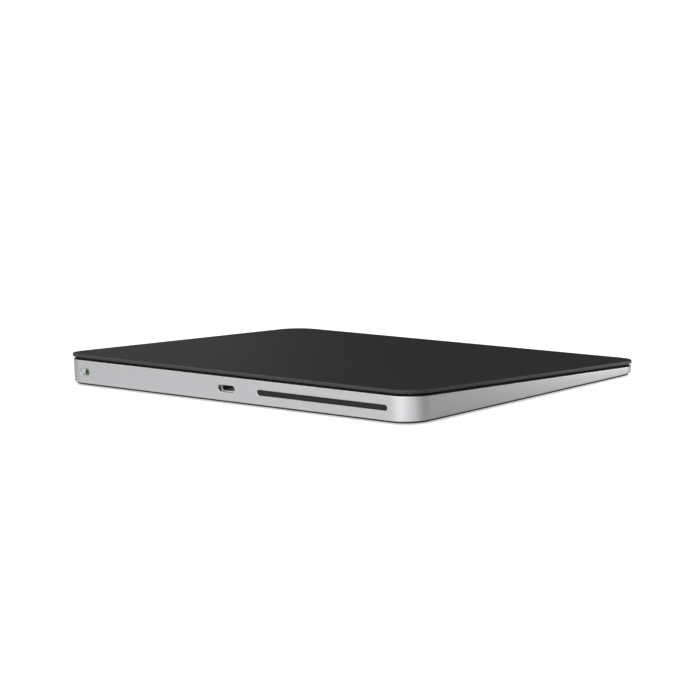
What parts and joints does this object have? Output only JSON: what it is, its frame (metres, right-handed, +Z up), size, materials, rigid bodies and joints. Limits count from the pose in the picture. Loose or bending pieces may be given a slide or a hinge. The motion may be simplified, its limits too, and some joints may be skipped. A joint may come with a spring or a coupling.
{
  "type": "trackpad",
  "caption": "Wedge-shaped desk trackpad: glass touch surface on force flexures in an aluminium frame, with charging port, antenna window and power switch at the rear.",
  "frame": {"origin": "on the table under the middle of the glass, at the underside of the feet", "axes": "+X across the width, +Y towards the thick rear edge with the port, +Z up"},
  "size_m": [0.16, 0.115, 0.0109],
  "materials": {
    "touch_glass": "matte",
    "anodised_aluminium": "satin",
    "seal_rubber": "matte",
    "foot_rubber": "matte",
    "black_plastic": "matte",
    "cover_plastic": "satin",
    "green_plastic": "satin",
    "light_plastic": "satin",
    "adhesive": "matte",
    "stamped_steel": "satin",
    "screw_steel": "satin",
    "spring_steel": "gloss",
    "soft_iron": "matte",
    "copper_winding": "gloss",
    "stiffener_aluminium": "matte",
    "circuit_board": "satin",
    "chip_epoxy": "matte",
    "flex_polyimide": "satin",
    "cell_foil": "satin",
    "gel": "gloss",
    "contact_gold": "polished"
  },
  "bodies": {
    "case": {"enclosure_frame": "anodised_aluminium", "perimeter_seal": "seal_rubber", "bottom_cover": "cover_plastic", "cover_adhesive": "adhesive", "chassis_plate": "stamped_steel", "chassis_screws": "screw_steel", "actuator_core": "soft_iron", "actuator_coil": "copper_winding", "actuator_bracket": "stamped_steel", "actuator_screws": "screw_steel", "battery_cell_left": "cell_foil", "battery_cell_right": "cell_foil", "battery_tapes": "adhesive", "battery_board": "circuit_board", "battery_lead": "flex_polyimide", "logic_board": "circuit_board", "board_screws": "screw_steel", "shield_can_left": "stamped_steel", "shield_can_right": "stamped_steel", "shield_can_rear": "stamped_steel", "board_chips": "chip_epoxy", "board_connectors": "chip_epoxy", "antenna_window": "black_plastic", "antenna_element": "flex_polyimide", "port_shell": "stamped_steel", "port_insulator": "black_plastic", "port_contacts": "contact_gold", "port_bracket": "stamped_steel", "port_screws": "screw_steel", "port_flex": "flex_polyimide", "power_indicator": "green_plastic", "switch_face": "light_plastic", "switch_housing": "black_plastic", "switch_contacts": "contact_gold", "switch_bracket": "stamped_steel", "switch_bracket_screw": "screw_steel", "side_board": "circuit_board", "side_board_standoffs": "stamped_steel", "side_board_parts": "chip_epoxy", "switch_flex": "flex_polyimide", "gel_pads": "gel", "foot_front_left": "foot_rubber", "foot_front_right": "foot_rubber", "foot_rear_left": "foot_rubber", "foot_rear_right": "foot_rubber"},
    "suspension": {"force_flexure_front_left": "spring_steel", "force_flexure_front_right": "spring_steel", "force_flexure_rear_left": "spring_steel", "force_flexure_rear_right": "spring_steel", "strain_gauges": "flex_polyimide"},
    "touch_surface": {"glass_top": "touch_glass", "sensor_board": "circuit_board", "stiffener_plate": "stiffener_aluminium", "flexure_screws": "screw_steel", "sensor_connector": "chip_epoxy", "sensor_flex": "flex_polyimide", "pull_plate": "soft_iron"},
    "power_slider": {"switch_knob": "anodised_aluminium", "switch_carriage": "light_plastic"}
  },
  "joints": [
    {"name": "haptic_shift", "type": "slide", "parent": "case", "child": "suspension", "axis": [1, 0, 0], "range_m": [-0.00015, 0.00015], "stiffness_N_per_m": 8000},
    {"name": "surface_press", "type": "slide", "parent": "suspension", "child": "touch_surface", "axis": [0, 0.0521, -0.9986], "range_m": [0, 0.0002], "stiffness_N_per_m": 12000, "springref_m": -0.0002, "deforming": ["force_flexure_front_left", "force_flexure_front_right", "force_flexure_rear_left", "force_flexure_rear_right"]},
    {"name": "power_slide", "type": "slide", "parent": "case", "child": "power_slider", "axis": [-1, 0, 0], "range_m": [0, 0.00215]}
  ]
}
